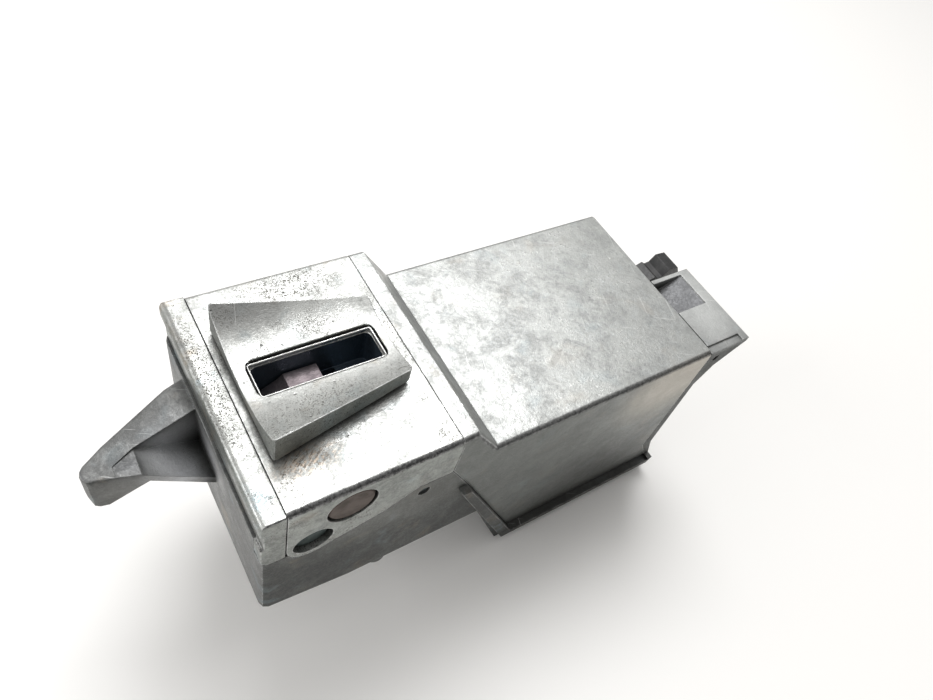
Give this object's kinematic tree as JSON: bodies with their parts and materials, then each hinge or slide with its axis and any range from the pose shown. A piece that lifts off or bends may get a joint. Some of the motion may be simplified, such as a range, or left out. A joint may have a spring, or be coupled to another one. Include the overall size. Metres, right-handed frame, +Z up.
{
  "type": "electric steering column lock",
  "caption": "Die-cast electric steering lock: a head with a saddle and a slot for its lock bolt, a side horn, and a box that holds the motor, circuit board and plug socket.",
  "frame": {"origin": "centre of the bounding box, at its lowest face", "axes": "+X from the horn and the head to the plug socket, +Y from the face with the pins to the plain face behind, +Z up out of the saddle, the way the bolt travels"},
  "size_m": [0.1548, 0.0564, 0.0849],
  "materials": {
    "cast_metal": "as cast, worn bright on the edges, with dark pits and grey stains",
    "cast_metal_dark": "as cast, dull grey",
    "steel": "hardened steel, satin",
    "brown_steel": "brown tarnished steel, matt",
    "brass": "turned, satin",
    "black_plastic": "moulded, matt",
    "white_plastic": "moulded, satin",
    "board_green": "lacquered board",
    "relay_blue": "moulded, glossy",
    "tinned_copper": "tinned",
    "rubber": "soft black rubber"
  },
  "bodies": {
    "case": {"main_housing": "cast_metal_dark", "side_strip": "cast_metal", "guide_block": "cast_metal", "electronics_cover": "cast_metal", "stop_pin": "brown_steel", "keeper_pin": "steel", "roll_pin": "steel", "bolt_spring": "steel", "motor_can": "steel", "motor_end_cap": "black_plastic", "motor_strap": "steel", "motor_cradle": "black_plastic", "lower_bush": "brass", "upper_bush": "brass", "shaft_bush": "brass", "circuit_board": "board_green", "board_screw_1": "steel", "board_screw_2": "steel", "board_screw_3": "steel", "board_screw_4": "steel", "relay": "relay_blue", "controller_chip": "black_plastic", "position_switch_locked": "black_plastic", "position_switch_unlocked": "black_plastic", "plug_socket": "black_plastic", "terminal_1": "tinned_copper", "terminal_2": "tinned_copper", "terminal_3": "tinned_copper", "terminal_4": "tinned_copper", "tray_seal": "rubber"},
    "bolt": {"lock_bolt": "steel", "bolt_carrier": "white_plastic", "bolt_pin": "steel"},
    "screw": {"lift_screw": "steel", "worm_wheel": "white_plastic"},
    "motor_rotor": {"motor_shaft": "steel", "worm": "brass"}
  },
  "joints": [
    {"name": "bolt_slide", "type": "slide", "parent": "case", "child": "bolt", "axis": [0, 0, 1], "range_m": [0, 0.0095], "deforming": ["bolt_spring"]},
    {"name": "screw_spin", "type": "hinge", "parent": "case", "child": "screw", "pos_m": [-0.0222, 0, 0.041], "axis": [0, 0, 1], "range_deg": [-285.5, 0]},
    {"name": "motor_spin", "type": "hinge", "parent": "case", "child": "motor_rotor", "pos_m": [-0.0047, 0.015, 0.041], "axis": [1, 0, 0], "range_deg": [-3421, 0]}
  ],
  "couplings": [
    {"joint": "screw_spin", "follows": "bolt_slide", "rad_per_m": -523.6},
    {"joint": "motor_spin", "follows": "bolt_slide", "rad_per_m": -6283.2}
  ]
}
